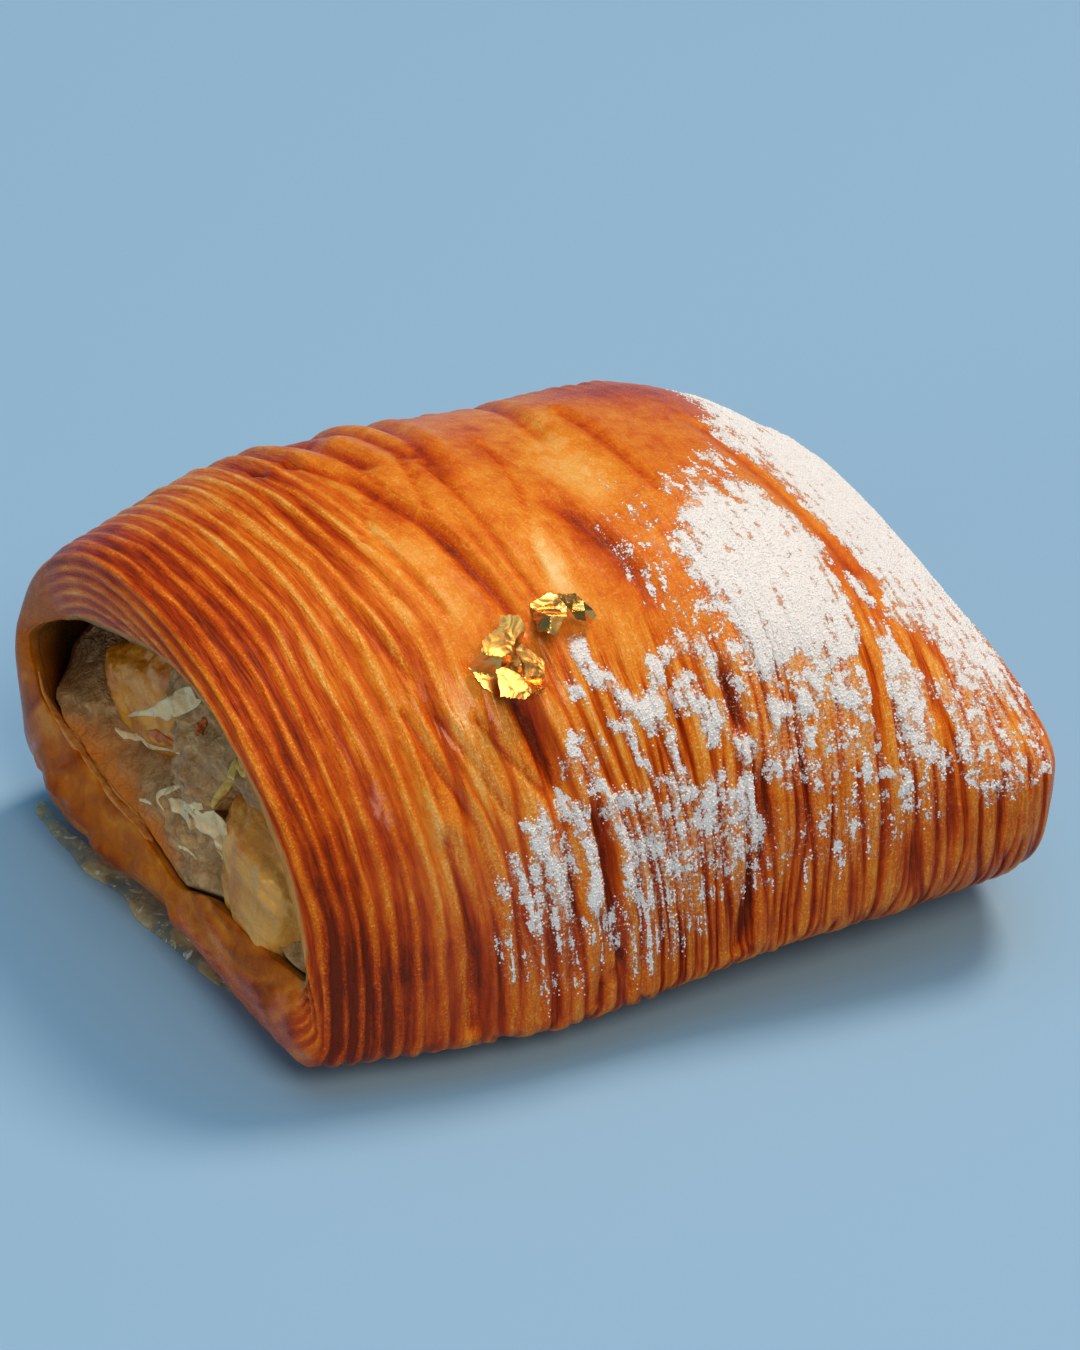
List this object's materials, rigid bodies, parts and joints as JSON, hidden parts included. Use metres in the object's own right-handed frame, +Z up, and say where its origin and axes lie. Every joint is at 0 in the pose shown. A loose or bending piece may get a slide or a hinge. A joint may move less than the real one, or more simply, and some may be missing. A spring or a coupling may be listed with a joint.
{
  "type": "pain suisse",
  "caption": "Ridged laminated pastry wrap, open at both ends, filled with cream and pear, dusted with sugar and dressed with gold leaf.",
  "frame": {"origin": "on the table, under the middle of the pastry's box", "axes": "+Z up, X along the roll with -X the mouth with the front flap, -Y the front"},
  "size_m": [0.1067, 0.0845, 0.0595],
  "materials": {
    "crust": "glazed golden brown baked dough with fine ridges",
    "sugar": "matt white powdered sugar",
    "cream": "moist pale cream",
    "pear": "moist translucent poached pear",
    "baked_pear": "moist browned pear",
    "gold_leaf": "crumpled bright gold leaf",
    "syrup": "clear sticky syrup"
  },
  "bodies": {
    "root": {"crust": "crust", "cream": "cream", "pear_slice_left": "pear", "pear_chunk_left": "baked_pear", "pear_slice_right": "pear", "pear_chunk_right": "baked_pear", "gold_leaf_large": "gold_leaf", "gold_leaf_small": "gold_leaf", "syrup": "syrup"}
  },
  "joints": []
}
